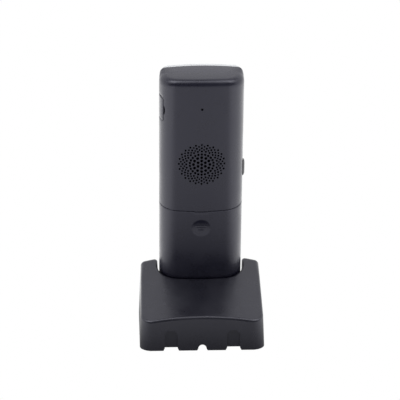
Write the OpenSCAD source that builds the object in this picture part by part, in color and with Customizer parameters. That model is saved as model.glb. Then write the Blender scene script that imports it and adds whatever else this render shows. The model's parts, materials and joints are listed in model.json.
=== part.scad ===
// Cordless telephone handset standing in its charging cradle.
// Frame: +Z up, -Y is the front (the side that is faced in use), origin at the
// centre of the cradle's footprint on the table. Millimetres.

/* [Handset] */
// Width of the handset
hand_w = 52.5; // [50:0.5:55]
// Length of the handset
hand_l = 168.5; // [164:0.5:172]
// Thickness of the two black shells together
shell_t = 21.4; // [21:0.1:22]
// Thickness of the silver front frame that stands on the front shell
frame_t = 2.4; // [2:0.1:2.6]
// Wall thickness of the shells
wall = 1.6; // [1.4:0.1:1.8]
// Depth from the back at which the rear shell meets the front shell
parting = 14.2; // [14:0.1:14.5]
// Lean of the handset towards the back, in degrees
lean = 13.8; // [12:0.1:15]

/* [Back of the handset] */
// Lower edge of the battery cover, along the handset
cover_lo = 24.9; // [24.7:0.1:25.5]
// Upper edge of the battery cover, along the handset
cover_hi = 74.7; // [74:0.1:76]
// Centre of the speaker grille, along the handset
grille_w = 109.5; // [105:0.5:112]
// Small microphone hole, along the handset
rear_mic_w = 149.2; // [146:0.5:151]
// Centre of the side key, along the handset
side_key_w = 99; // [98:0.5:102]
// Lower and upper edges of the headset cover, along the handset
jack_span = [137.7, 153.5]; // [130:0.1:156]

/* [Cradle] */
// Width of the cradle at the table
base_w = 79; // [78:0.5:82]
// Depth of the cradle at the table
base_d = 73.6; // [73:0.1:76]
// Height of the rear edge of the sloping top
rear_h = 22.9; // [22:0.1:24]
// Slope of the top, in degrees
top_slope = 22.5; // [22:0.1:23]
// Height of the front lip
lip_h = 19; // [18:0.5:20]
// Height of the opening's lower edge in front of the handset
sill_h = 24; // [22:0.5:25]
// Wall thickness of the cradle
base_wall = 2.2; // [2:0.1:2.4]
// Gap between the handset and the cradle
seat_gap = 1; // [0.8:0.1:1.2]
// Gap between the table and the housing's lower edge
foot_gap = 0.5; // [0.4:0.1:0.8]

/* [Hidden] */
black = [0.14, 0.14, 0.16];
silver = [0.78, 0.79, 0.81];
steel = [0.72, 0.72, 0.7];
gold = [0.85, 0.68, 0.3];
board_green = [0.1, 0.35, 0.2];
rubber_black = [0.08, 0.08, 0.09];
far = 300;
hair = 0.02;
fit_gap = 0.15;
arc_steps = 10;
$fn = 48;

// Where the lower end of the handset's back stands in the cradle
seat_y = -3.85;
seat_z = 13;

// Cross-section of the handset: a crowned back, large corner arcs, straight sides
crown_r = 88;
corner_r = 13;
corner_x = hand_w / 2 - corner_r;
crown_a = asin(corner_x / (crown_r - corner_r));
corner_y = -crown_r + (crown_r - corner_r) * cos(crown_a);
front_r = 2.6;
side_taper = 0.4;
front_x = hand_w / 2 - front_r - side_taper;
front_y = -shell_t + front_r;

// Outline of the handset seen from the front: the top is a shallow arch
top_r = 220;
top_corner = 2.6;
bottom_corner = 7;
top_a = asin((hand_w / 2 - top_corner) / top_r);
top_corner_w = hand_l - top_r + top_r * cos(top_a) - top_corner;

// Battery bay
tray_x = 23;
tray_wall = 1;
cell_r = 5.25;
cell_l = 44.5;
cell_x = 8.5;
cell_y = -7.7;
bay_mid = (cover_lo + cover_hi) / 2;

// Main board and the layers in front of it
board_y = -15.2;
board_t = 1.2;
front_t = 1.6;
front_face = -shell_t - frame_t;

// Display
window = [-19, 99, 19, 147];
window_r = 2.5;

// Speaker grille: a centre hole and rings of [radius, holes, hole diameter, turn]
rings = [[0, 1, 1.7, 0], [2.62, 6, 1.7, 0], [5.11, 12, 1.7, 0], [7.41, 22, 1.4, 0],
         [9.63, 24, 1.2, 0], [10.8, 24, 1, 7.5], [11.95, 24, 1.2, 0],
         [13.1, 24, 1, 7.5], [14.2, 24, 1.15, 0]];

// Keys on the front: [node, centre x, centre along the handset, width, height, corner radius]
row_pitch = 9.6;
column_pitch = 15.2;
first_row = 23.4;
digit = [12.6, 7.2, 2.4];
DIGITS = ["key_star", "key_0", "key_hash", "key_7", "key_8", "key_9",
          "key_4", "key_5", "key_6", "key_1", "key_2", "key_3"];
DIGIT_KEYS = [for (i = [0:11]) [DIGITS[i], (i % 3 - 1) * column_pitch,
              first_row + floor(i / 3) * row_pitch, digit[0], digit[1], digit[2]]];
nav_w = 78;
nav_r = 9.6;
ok_r = 4.2;
OTHER_KEYS = [["key_talk", -16.8, 68.4, 11, 8.6, 3], ["key_end", 16.8, 68.4, 11, 8.6, 3],
              ["key_menu_left", -16.8, 86.6, 11, 6.6, 2.4],
              ["key_menu_right", 16.8, 86.6, 11, 6.6, 2.4],
              ["key_ok", 0, nav_w, 2 * ok_r, 2 * ok_r, ok_r],
              ["key_navigation", 0, nav_w, 2 * nav_r, 2 * nav_r, nav_r]];
FACE_KEYS = concat(DIGIT_KEYS, OTHER_KEYS);
key_gap = 0.3;
key_top = 0.5;
key_flange = 0.7;
key_well = [-23.2, 17, 23.2, 93.5];

// Microphone, receiver and side openings
mic_w = 9.5;
receiver_w = 157;
receiver_r = 6;
side_key_h = 12;
side_key_t = 4.2;
side_key_out = 1.25;
side_key_y = -parting;
jack_y = -10.4;
jack_w = (jack_span[0] + jack_span[1]) / 2;
jack_r = 1.75;
jack_back = 6.6;
jack_skin = 1.4;
jack_hinge = [hand_w / 2, -parting];

// Screws that hold the shells together: distance from the middle, height
case_screw = [18, 8];

// Cradle
base_corner = 8;
base_top = 46;
draft = 1.7;
roof_r = 225;
front_slope = 58;
ridge_y = -19;
ridge_z = rear_h + (base_d / 2 - 1.5 - ridge_y) * tan(top_slope);
lip_y = -base_d / 2 + 1.2;
well_floor = 2;
arch_x = 19.7;
arch_w = 8.1;
arch_top = 13.75;
arch_flare = 10.4;
flare_h = 2.3;
cable_w = 5.2;
cable_h = 4.4;
plate_z = 2.5;
plate_t = 2.2;
foot_at = [28, 26];
foot_r = 5;
screw_at = [31, 12];
screw_r = 1.4;
board_top = plate_z + plate_t + 1.3;
contact_x = 7.5;
contact_y = -13;
leaf_root = -3.5;
leaf_w = 3;
leaf_t = 0.4;
leaf_drop = -3.6;
leaf_foot_y = -8.5;
leaf_top = 10.6;
inlet_y = 12;
inlet = [9, 8, 5];
inlet_top = 5.8;

// Points along an arc about c, from angle a0 to angle a1
function arc(c, r, a0, a1) =
    [for (i = [0:arc_steps]) let (a = a0 + (a1 - a0) * i / arc_steps) c + r * [cos(a), sin(a)]];

// Rectangle from (x0, y0) to (x1, y1) with rounded corners
function rounded(box, r) = concat(
    arc([box[2] - r, box[1] + r], r, -90, 0), arc([box[2] - r, box[3] - r], r, 0, 90),
    arc([box[0] + r, box[3] - r], r, 90, 180), arc([box[0] + r, box[1] + r], r, 180, 270));

// Footprint of the cradle, moved inwards by the inset
function base_box(inset) =
    [inset - base_w / 2, inset - base_d / 2, base_w / 2 - inset, base_d / 2 - inset];

// Cross-section of the handset's shells, moved inwards by the inset
function hand_section(inset) = concat(
    arc([0, -crown_r], crown_r - inset, 90 + crown_a, 90 - crown_a),
    arc([corner_x, corner_y], corner_r - inset, 90 - crown_a, 0),
    arc([front_x, front_y], front_r - inset, 0, -90),
    arc([-front_x, front_y], front_r - inset, 270, 180),
    arc([-corner_x, corner_y], corner_r - inset, 180, 90 + crown_a));

// Outline of the handset seen from the front, moved inwards by the inset
function hand_front(inset) = concat(
    arc([hand_w / 2 - bottom_corner, bottom_corner], bottom_corner - inset, -90, 0),
    arc([hand_w / 2 - top_corner, top_corner_w], top_corner - inset, 0, 90 - top_a),
    arc([0, hand_l - top_r], top_r - inset, 90 - top_a, 90 + top_a),
    arc([top_corner - hand_w / 2, top_corner_w], top_corner - inset, 90 + top_a, 180),
    arc([bottom_corner - hand_w / 2, bottom_corner], bottom_corner - inset, 180, 270));

// Places its children in the handset's own frame: Y is depth (0 at the back, negative
// towards the front) and Z runs along the handset from its lower end
module in_handset() {
    translate([0, seat_y, seat_z]) rotate([-lean, 0, 0]) children();
}

// Extrudes a front-view outline between two depths
module slab(y0, y1) {
    translate([0, y1, 0]) rotate([90, 0, 0]) linear_extrude(y1 - y0) children();
}

module box(lo, hi) {
    translate(lo) cube(hi - lo);
}

// Both shells as one solid, moved inwards by the inset
module hand_solid(inset) {
    intersection() {
        linear_extrude(hand_l) polygon(hand_section(inset));
        slab(-far, far) polygon(hand_front(inset));
        rotate([90, 0, 90]) translate([0, 0, -far / 2]) linear_extrude(far)
            polygon(rounded([-shell_t + inset, inset, -inset, hand_l - inset], 3 - inset));
    }
}

module grille_holes() {
    for (ring = rings, i = [0:ring[1] - 1])
        rotate([0, 90 + ring[3] + i * 360 / ring[1], 0])
            translate([ring[0], 0, 0]) rotate([90, 0, 0])
                cylinder(r = ring[2] / 2, h = 8, center = true, $fn = 16);
}

module side_key_slot(gap) {
    box([-hand_w, side_key_y - side_key_t / 2 - gap, side_key_w - side_key_h / 2 - gap],
        [-hand_w / 2 + 2.4, side_key_y + side_key_t / 2 + gap, side_key_w + side_key_h / 2 + gap]);
}

// Skin of the back between two depths below the surface, swept about the cover's hinge
module jack_patch(gap, skin) {
    reach = jack_back_reach() + gap;
    intersection() {
        difference() {
            linear_extrude(hand_l) polygon(hand_section(0));
            linear_extrude(hand_l) polygon(hand_section(skin));
        }
        translate([jack_hinge[0], jack_hinge[1], jack_span[0] - gap])
            cylinder(r = reach, h = jack_span[1] - jack_span[0] + 2 * gap);
        box([hand_w / 4, -parting + 0.2 - gap, 0], [hand_w, 0, hand_l]);
    }
}

// Distance from the hinge to the cover's rear edge
function jack_back_reach() =
    let (y = -jack_back, x = corner_x + sqrt(corner_r ^ 2 - (y - corner_y) ^ 2))
    norm([jack_hinge[0] - x, jack_hinge[1] - y]);

// Battery tray before it is hollowed; it stays inside the cover
module tray_block() {
    intersection() {
        box([-tray_x, -parting, cover_lo - 1], [tray_x, -2.6, cover_hi + 1]);
        hand_solid(wall + 0.3);
    }
}

// Material behind the headset cover, around the jack
module jack_backing() {
    intersection() {
        difference() {
            linear_extrude(hand_l) polygon(hand_section(jack_skin / 2));
            linear_extrude(hand_l) polygon(hand_section(2 * jack_skin));
        }
        box([hand_w / 4, -parting, jack_span[0] - 1.5], [hand_w, -jack_back + 1.5, jack_span[1] + 1.5]);
    }
}

// Tube for a case screw between two depths
module screw_post(y0, y1, r) {
    for (x = [-1, 1] * case_screw[0])
        translate([x, y1, case_screw[1]]) rotate([90, 0, 0]) cylinder(r = r, h = y1 - y0);
}

module rear_case() {
    color(black) in_handset() difference() {
        union() {
            difference() {
                intersection() {
                    hand_solid(0);
                    box([-far, -parting, -far], [far, far, far]);
                }
                difference() {
                    hand_solid(wall);
                    box([-far, -far, cover_lo - 1.6], [far, far, cover_hi + 1.2]);
                }
                difference() {
                    box([-far, -far, cover_lo - fit_gap], [far, far, cover_hi + fit_gap]);
                    tray_block();
                }
            }
            jack_backing();
            screw_post(-parting, -3.5, 2.6);
        }
        box([-tray_x + tray_wall, -parting + tray_wall, cover_lo + 2],
            [tray_x - tray_wall, far, cover_hi - 2]);
        translate([0, 0, grille_w]) grille_holes();
        translate([0, 0, rear_mic_w]) rotate([90, 0, 0]) cylinder(r = 0.7, h = 8, center = true);
        side_key_slot(fit_gap);
        jack_patch(fit_gap, jack_skin + fit_gap);
        translate([hand_w / 2 - 6, jack_y, jack_w]) rotate([0, 90, 0]) cylinder(r = 3.1, h = 12);
        screw_post(-far, far, 1.1);
        screw_post(-5.5, far, 2.1);
        for (x = [-1, 1] * contact_x)
            box([x - 2.2, contact_y - 2.2, -1], [x + 2.2, contact_y + 2.2, wall + 1]);
    }
}

module battery_cover() {
    thumb_w = 62.2;
    thumb_r = 6.2;
    color(black) in_handset() difference() {
        intersection() {
            difference() {
                hand_solid(0);
                linear_extrude(hand_l) polygon(hand_section(wall));
            }
            box([-far, -parting + 0.1, cover_lo], [far, far, cover_hi]);
        }
        // Thumb recess, deepest at its upper edge
        intersection() {
            translate([0, 1, thumb_w]) rotate([90, 0, 0]) cylinder(r = thumb_r, h = 8);
            translate([0, 0, thumb_w - thumb_r]) rotate([5, 0, 0])
                box([-10, 0, -1], [10, 6, 3 * thumb_r]);
        }
        // Finger notch at the middle of the upper edge
        box([-4.2, -0.8, cover_hi - 0.5], [4.2, 1, far]);
    }
}

module front_case() {
    color(black) in_handset() difference() {
        intersection() {
            hand_solid(0);
            box([-far, -far, -far], [far, -parting - hair, far]);
        }
        difference() {
            hand_solid(wall);
            box([-far, -far, -far], [far, -shell_t + front_t, far]);
            screw_post(-shell_t, 0, 2.6);
        }
        screw_post(-shell_t + front_t, 0, 1);
        slab(-far, 0) polygon(rounded(window, window_r));
        for (k = FACE_KEYS) slab(-far, 0) key_outline(k, key_gap);
        side_key_slot(fit_gap);
        slab(-far, 0) polygon(rounded([-7, receiver_w - 0.9, 7, receiver_w + 0.9], 0.8));
        translate([0, 0, mic_w]) rotate([90, 0, 0]) cylinder(r = 0.8, h = far);
    }
}

module front_frame() {
    half = hand_w / 2 - 2.2;
    color(silver) in_handset() difference() {
        slab(front_face, -shell_t - hair) intersection() {
            translate([0, 0.8]) polygon(hand_front(1.2));
            polygon(rounded([-half, 1.6, half, far], 5));
        }
        slab(-far, 0) polygon(rounded(window, window_r));
        slab(-far, 0) polygon(rounded(key_well, 4));
        slab(-far, 0) polygon(rounded([-7, receiver_w - 0.9, 7, receiver_w + 0.9], 0.8));
        translate([0, 0, mic_w]) rotate([90, 0, 0]) cylinder(r = 0.8, h = far);
    }
}

module display_window() {
    inner = [window[0] + fit_gap, window[1] + fit_gap, window[2] - fit_gap, window[3] - fit_gap];
    color([0.05, 0.06, 0.08]) in_handset()
        slab(front_face - 0.1, -shell_t + 0.6) polygon(rounded(inner, window_r - fit_gap));
}

module display_module() {
    color([0.3, 0.35, 0.36]) in_handset()
        box([-20, -19.6, window[1] - 2], [20, -17, window[3] + 2]);
}

module main_board() {
    color(board_green) in_handset() slab(board_y - board_t, board_y)
        polygon(rounded([-22, 12, 22, 160], 3));
}

module key_mat() {
    color([0.5, 0.5, 0.52]) in_handset() slab(-18.2, board_y - board_t - 0.1)
        polygon(rounded([-21.5, key_well[1], 21.5, key_well[3]], 2));
}

// Outline of a key on the front; the navigation key is a ring around the OK key
module key_outline(k, gap) {
    translate([k[1], k[2]])
        polygon(rounded([-k[3] / 2 - gap, -k[4] / 2 - gap, k[3] / 2 + gap, k[4] / 2 + gap], k[5] + gap));
}

module face_key(k) {
    is_ring = k[0] == "key_navigation";
    flange = is_ring ? 0 : 0.5;
    color(black) in_handset() difference() {
        union() {
            slab(front_face - key_top, -shell_t + front_t + 0.15) key_outline(k, 0);
            slab(-shell_t + front_t + 0.1, -shell_t + front_t + key_flange) key_outline(k, flange);
        }
        if (is_ring)
            translate([0, 0, nav_w]) rotate([90, 0, 0]) cylinder(r = ok_r + 0.8, h = far);
    }
}

module side_key() {
    inside = -hand_w / 2 + 2.2;
    color(black) in_handset()
        translate([0, side_key_y + side_key_t / 2, 0]) rotate([90, 0, 0]) linear_extrude(side_key_t)
            polygon(rounded([-hand_w / 2 - side_key_out, side_key_w - side_key_h / 2,
                             inside, side_key_w + side_key_h / 2], 1.6));
}

module receiver() {
    color(steel) in_handset() translate([0, -17, receiver_w]) rotate([90, 0, 0])
        cylinder(r = receiver_r, h = 2.6);
}

module loudspeaker() {
    color([0.2, 0.2, 0.2]) in_handset() translate([0, -3.4, grille_w]) rotate([90, 0, 0]) {
        cylinder(r = 16, h = 1.6);
        translate([0, 0, 1.6 - hair]) cylinder(r = 9, h = 4);
    }
}

module microphone() {
    color(steel) in_handset() translate([0, -16.6, mic_w]) rotate([90, 0, 0])
        cylinder(r = 2, h = 3);
}

module rear_microphone() {
    color(steel) in_handset() translate([0, -2.4, rear_mic_w]) rotate([90, 0, 0])
        cylinder(r = 2, h = 1.5);
}

module battery_cell(side) {
    low = bay_mid - cell_l / 2;
    color([0.75, 0.76, 0.78]) in_handset() translate([side * cell_x, cell_y, low]) {
        cylinder(r = cell_r, h = cell_l - 0.8);
        cylinder(r = 1.9, h = cell_l);
    }
}

module battery_cell_left() {
    battery_cell(1);
}

module battery_cell_right() {
    battery_cell(-1);
}

// Strips at the lower end of the bay that press the cells upwards
module battery_springs() {
    low = bay_mid - cell_l / 2;
    color(steel) in_handset() for (side = [-1, 1]) translate([side * cell_x, cell_y, low]) {
        translate([0, 0, -0.45]) cylinder(r = 3, h = 0.35);
        translate([0, 0, -0.6]) cylinder(r = 1.2, h = 0.3);
    }
}

// Plate at the upper end of the bay that joins the two cells
module battery_plates() {
    high = bay_mid + cell_l / 2 + 0.05;
    color(steel) in_handset()
        box([-cell_x - 4, cell_y - 4, high], [cell_x + 4, cell_y + 4, high + 0.4]);
}

// Metal pads in the lower end of the handset, over the cradle's contacts
module charging_pads() {
    color(gold) in_handset() for (x = [-1, 1] * contact_x)
        box([x - 2, contact_y - 1, 0.2], [x + 2, contact_y + 2, wall]);
}

module headset_jack() {
    color(rubber_black) in_handset() translate([hand_w / 2 - 16.1, jack_y, jack_w]) rotate([0, 90, 0])
        difference() {
            cylinder(r = 3, h = 12);
            translate([0, 0, 1]) cylinder(r = jack_r, h = 12);
        }
}

module headset_cover() {
    color(rubber_black) in_handset() jack_patch(0, jack_skin);
}

module case_screws() {
    color(steel) in_handset() difference() {
        union() {
            screw_post(-18, -5.5, 0.95);
            screw_post(-5.5, -4.3, 2);
        }
        for (x = [-1, 1] * case_screw[0])
            box([x - 1.4, -4.8, case_screw[1] - 0.25], [x + 1.4, -4, case_screw[1] + 0.25]);
    }
}

module antenna() {
    color(gold) in_handset() difference() {
        box([-18, -14.6, 161], [18, -13.9, 164.5]);
        for (x = [-12:6:12]) box([x - 1, -far, 160], [x + 1, far, 163.4]);
    }
}

// ---- cradle ----

// Cylinder whose top line passes through a point of the centre plane at a slope
module roof(y, z, slope, inset) {
    translate([0, y, z]) rotate([slope, 0, 0]) translate([0, 0, -roof_r]) rotate([90, 0, 0])
        cylinder(r = roof_r - inset, h = far, center = true, $fn = 160);
}

// Outside of the cradle, moved inwards by the inset
module cradle_block(inset) {
    intersection() {
        hull() for (top = [0, 1]) translate([0, 0, foot_gap + top * base_top]) linear_extrude(hair)
            polygon(rounded(base_box(inset + top * draft), base_corner - inset));
        roof(ridge_y, ridge_z, -top_slope, inset);
        roof(lip_y, lip_h, front_slope, inset);
    }
}

// Space for the handset, grown by the gap, with its floor lowered by the drop
module seat_space(gap, drop) {
    half = hand_w / 2 - 2.2 + gap;
    translate([0, 0, -drop]) linear_extrude(80) union() {
        polygon(hand_section(-gap));
        polygon(rounded([-half, front_face - gap, half, -shell_t + 4], 1.2));
    }
}

// Opening in front of the handset, above the sill, grown by the gap
module front_slot(gap) {
    half = hand_w / 2 + seat_gap + gap;
    slab(-far, -14) polygon(rounded([-half, sill_h - gap, half, far], 5));
}

module cradle_bosses() {
    for (x = [-1, 1] * screw_at[0], y = [-1, 1] * screw_at[1])
        translate([x, y, plate_z + plate_t + 0.1]) cylinder(r = 3, h = base_top);
}

module arch(x, depth) {
    edge = base_d / 2 + 1;
    translate([x, edge, 0]) rotate([90, 0, 0]) linear_extrude(depth) union() {
        translate([0, arch_top - arch_w / 2]) circle(r = arch_w / 2);
        translate([-arch_w / 2, flare_h]) square([arch_w, arch_top - arch_w / 2 - flare_h]);
    }
    translate([x, edge, 0]) rotate([90, 0, 0]) linear_extrude(6)
        polygon([[-arch_flare / 2, -1], [arch_flare / 2, -1], [arch_w / 2, flare_h],
                 [-arch_w / 2, flare_h]]);
}

module cradle_housing() {
    lead_top = cable_h - cable_w / 2;
    color(black) difference() {
        union() {
            difference() {
                cradle_block(0);
                difference() {
                    translate([0, 0, -1]) cradle_block(base_wall);
                    in_handset() seat_space(seat_gap + base_wall, well_floor);
                    front_slot(base_wall);
                }
            }
            intersection() {
                cradle_bosses();
                cradle_block(base_wall / 2);
            }
        }
        in_handset() seat_space(seat_gap, 0);
        front_slot(0);
        in_handset() for (x = [-1, 1] * contact_x)
            box([x - leaf_w / 2 - 0.4, contact_y - 2.4, -5], [x + leaf_w / 2 + 0.4, contact_y + 2.4, 1]);
        for (x = [-1, 1] * arch_x) arch(x, 2.6);
        translate([0, far, 0]) rotate([90, 0, 0]) linear_extrude(far - base_d / 2 + 6) union() {
            translate([0, lead_top]) circle(r = cable_w / 2);
            translate([-cable_w / 2, -1]) square([cable_w, lead_top + 1]);
        }
        for (x = [-1, 1] * screw_at[0], y = [-1, 1] * screw_at[1])
            translate([x, y, 0]) cylinder(r = screw_r - 0.15, h = 14);
    }
}

module cradle_base_plate() {
    rim = base_wall + 0.6;
    rear_edge = base_d / 2 - rim;
    top = plate_z + plate_t;
    channel = cable_h + 1.4;
    color(black) difference() {
        union() {
            translate([0, 0, plate_z]) linear_extrude(plate_t)
                polygon(rounded(base_box(rim), base_corner - base_wall));
            box([-cable_w / 2 - 1.4, inlet_y - 8, top - hair], [cable_w / 2 + 1.4, rear_edge, channel]);
            box([-inlet[0] / 2 - 1.4, inlet_y - 10, top - hair],
                [inlet[0] / 2 + 1.4, inlet_y + 1.4, inlet_top + 1.4]);
        }
        box([-cable_w / 2, inlet_y, -1], [cable_w / 2, far, cable_h]);
        box([-inlet[0] / 2 - 0.1, inlet_y - inlet[1] - 0.1, -1], [inlet[0] / 2 + 0.1, inlet_y, inlet_top]);
        for (x = [-1, 1] * screw_at[0], y = [-1, 1] * screw_at[1]) translate([x, y, 0]) {
            cylinder(r = screw_r + 0.2, h = 12);
            cylinder(r = 2.8, h = plate_z + 1.2);
        }
        for (x = [-1, 1] * foot_at[0], y = [-1, 1] * foot_at[1])
            translate([x, y, 0]) cylinder(r = foot_r + 0.1, h = plate_z + 0.6);
    }
}

module cradle_feet() {
    color(rubber_black) for (x = [-1, 1] * foot_at[0], y = [-1, 1] * foot_at[1])
        translate([x, y, 0]) cylinder(r = foot_r, h = plate_z + 0.6);
}

module cradle_screws() {
    color(steel) for (x = [-1, 1] * screw_at[0], y = [-1, 1] * screw_at[1])
        translate([x, y, plate_z + 0.1]) difference() {
            union() {
                cylinder(r = 2.6, h = 1.1);
                cylinder(r = screw_r - 0.2, h = 8);
            }
            for (turn = [0, 90]) rotate([0, 0, turn]) box([-1.6, -0.3, -1], [1.6, 0.3, 0.6]);
        }
}

module charging_board() {
    color(board_green) translate([0, 0, board_top - board_t]) linear_extrude(board_t)
        polygon(rounded([-16, -24, 16, 1], 2));
}

module power_inlet() {
    color(rubber_black) difference() {
        box([-inlet[0] / 2, inlet_y - inlet[1], inlet_top - inlet[2]],
            [inlet[0] / 2, inlet_y - 0.1, inlet_top - 0.1]);
        translate([0, inlet_y + 1, inlet_top - inlet[2] / 2]) rotate([90, 0, 0])
            cylinder(r = 1.6, h = 7);
    }
}

// Sprung strip: a foot on the charging board, a free arm and a domed tip
module charging_contact(side) {
    x = side * contact_x;
    color(gold) union() {
        in_handset() {
            box([x - leaf_w / 2, contact_y - 1.4, leaf_drop], [x + leaf_w / 2, leaf_root, leaf_drop + leaf_t]);
            box([x - 0.8, contact_y - 0.9, leaf_drop], [x + 0.8, contact_y + 0.9, -0.8]);
            translate([x, contact_y, -0.8]) sphere(r = 0.9);
        }
        box([x - leaf_w / 2, leaf_foot_y, board_top + 0.1],
            [x + leaf_w / 2, leaf_foot_y + leaf_t, leaf_top]);
        translate([x - leaf_w / 2, leaf_foot_y + leaf_t / 2, leaf_top - leaf_t / 2])
            rotate([0, 90, 0]) cylinder(r = leaf_t, h = leaf_w);
    }
}

module charging_contact_left() {
    charging_contact(1);
}

module charging_contact_right() {
    charging_contact(-1);
}

cradle_housing();
cradle_base_plate();
cradle_feet();
cradle_screws();
charging_board();
power_inlet();
charging_contact_left();
charging_contact_right();
rear_case();
battery_cover();
front_case();
front_frame();
display_window();
display_module();
main_board();
key_mat();
side_key();
receiver();
loudspeaker();
microphone();
rear_microphone();
battery_cell_left();
battery_cell_right();
battery_springs();
battery_plates();
charging_pads();
headset_jack();
headset_cover();
case_screws();
antenna();
for (k = FACE_KEYS) face_key(k);
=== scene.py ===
"""Cordless telephone handset standing in its charging cradle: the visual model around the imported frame.

Lengths are in millimetres until make() turns them into metres. The handset is modelled in its own frame:
x across, depth y (0 at the back, negative towards the front) and w along it from its lower end.
"""
import json
import math

import bmesh
import bpy
import numpy as np
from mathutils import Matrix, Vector
from mathutils.geometry import delaunay_2d_cdt


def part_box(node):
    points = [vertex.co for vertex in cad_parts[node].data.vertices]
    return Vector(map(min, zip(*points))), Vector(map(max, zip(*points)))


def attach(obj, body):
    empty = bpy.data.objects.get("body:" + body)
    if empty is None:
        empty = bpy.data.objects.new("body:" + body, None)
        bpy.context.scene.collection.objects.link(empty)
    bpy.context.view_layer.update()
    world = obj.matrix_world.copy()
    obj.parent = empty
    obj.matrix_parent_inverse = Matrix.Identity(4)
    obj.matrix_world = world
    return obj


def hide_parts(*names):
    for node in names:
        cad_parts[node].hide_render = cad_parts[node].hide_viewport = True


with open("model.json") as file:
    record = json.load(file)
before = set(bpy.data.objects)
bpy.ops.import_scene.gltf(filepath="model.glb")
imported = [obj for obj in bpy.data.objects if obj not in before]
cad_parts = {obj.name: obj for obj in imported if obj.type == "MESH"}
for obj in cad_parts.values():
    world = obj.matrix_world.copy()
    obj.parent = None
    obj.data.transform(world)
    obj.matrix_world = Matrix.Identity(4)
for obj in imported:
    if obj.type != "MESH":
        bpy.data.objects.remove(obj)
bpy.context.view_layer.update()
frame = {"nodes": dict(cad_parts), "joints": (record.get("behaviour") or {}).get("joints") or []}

MM = 0.001

# ---- the frame, in millimetres

JOINTS = {joint["name"]: joint for joint in frame["joints"]}
ALONG = np.array(JOINTS["handset_lift"]["axis"])
BACK = np.array(JOINTS["battery_cover_lift"]["axis"])


def node_points(node):
    """Every vertex of a CAD node."""
    mesh = frame["nodes"][node].data
    flat = np.empty(3 * len(mesh.vertices))
    mesh.vertices.foreach_get("co", flat)
    return flat.reshape(-1, 3) / MM


REAR_POINTS = node_points("rear_case")
ORIGIN = BACK * (REAR_POINTS @ BACK).max() + ALONG * (REAR_POINTS @ ALONG).min()


def hand_box(node):
    """Lowest and highest corners of a CAD node in the handset's frame."""
    points = node_points(node) - ORIGIN
    local = np.stack([points[:, 0], points @ BACK, points @ ALONG], 1)
    return local.min(axis=0), local.max(axis=0)


def in_hand(x, y, w):
    """Points of the handset's frame in the row frame."""
    x, y, w = np.broadcast_arrays(x, y, w)
    across = np.stack([x, np.zeros(x.shape), np.zeros(x.shape)], -1)
    return across + ORIGIN + y[..., None] * BACK + w[..., None] * ALONG


# ---- sizes of the handset

REAR_LOW, REAR_HIGH = hand_box("rear_case")
FRONT_LOW, _ = hand_box("front_case")
PLATE_LOW, PLATE_HIGH = hand_box("front_frame")
COVER_LOW, COVER_HIGH = hand_box("battery_cover")
WINDOW_LOW, WINDOW_HIGH = hand_box("display_window")
FLAP_LOW, FLAP_HIGH = hand_box("headset_cover")
SIDE_LOW, SIDE_HIGH = hand_box("side_key")

HALF = REAR_HIGH[0]
LENGTH = REAR_HIGH[2]
PARTING = -REAR_LOW[1]
SHELL = -FRONT_LOW[1]
FACE = PLATE_LOW[1]
WALL = 1.6
SEAM = 0.04
GAP = 0.15
BEVEL = 0.12

# Cross-section: a crowned back, large corner arcs, sides that taper a little, small front corners
CROWN_R = 88
CORNER_R = 13
FRONT_R = 2.6
SIDE_TAPER = 0.4
CROWN_A = math.asin((HALF - CORNER_R) / (CROWN_R - CORNER_R))
CORNER = np.array([HALF - CORNER_R, -CROWN_R + (CROWN_R - CORNER_R) * math.cos(CROWN_A)])
FRONT_CORNER = np.array([HALF - FRONT_R - SIDE_TAPER, FRONT_R - SHELL])
SPAN = FRONT_CORNER - CORNER
TILT = math.atan2(-SPAN[1], SPAN[0]) - math.acos((CORNER_R - FRONT_R) / np.hypot(*SPAN))
SIDE_LENGTH = math.sqrt(SPAN @ SPAN - (CORNER_R - FRONT_R) ** 2)
S_CROWN = CROWN_R * CROWN_A
S_CORNER = S_CROWN + CORNER_R * (math.pi / 2 + TILT - CROWN_A)
S_SIDE = S_CORNER + SIDE_LENGTH
S_FRONT = S_SIDE + FRONT_R * (math.pi / 2 - TILT)
S_TURN = S_FRONT + FRONT_CORNER[0]
S_PART = S_CROWN + CORNER_R * (math.pi / 2 - CROWN_A) + PARTING + CORNER[1]
TOP_R = 220
TOP_FILLET = 4.8
BOTTOM_FILLET = 3.6
SIDE_FILLET = 3.0
FACE_FILLET = 0.6
INNER_DEEP = 2.0

GRILLE_W = 109.5
# Rings of grille holes: radius, holes, hole diameter, turn in degrees
GRILLE = [(0, 1, 1.7, 0), (2.62, 6, 1.7, 0), (5.11, 12, 1.7, 0), (7.41, 22, 1.4, 0), (9.63, 24, 1.2, 0),
          (10.8, 24, 1.0, 7.5), (11.95, 24, 1.2, 0), (13.1, 24, 1.0, 7.5), (14.2, 24, 1.15, 0)]
# The holes are this much wider than in the CAD, so that they read as dark as in the photograph
GRILLE_WIDER = 1.12
REAR_MIC_W = 149.2
REAR_MIC_R = 0.75
RECEIVER_W = 157
MIC_W = 9.5
CASE_SCREW = (18, 8)
TAB_HALF = 4.2
TAB_STEP = 0.3
SPLIT_GAP = 0.32
THUMB_W = 62.2
THUMB_R = 6.2
THUMB_DEPTH = 1.2
# Grooves of the thumb recess: height over its middle and half length
GROOVES = [(1.0, 3.9), (-0.55, 3.15), (-2.1, 2.15)]
GROOVE_DEPTH = 0.2


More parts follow.
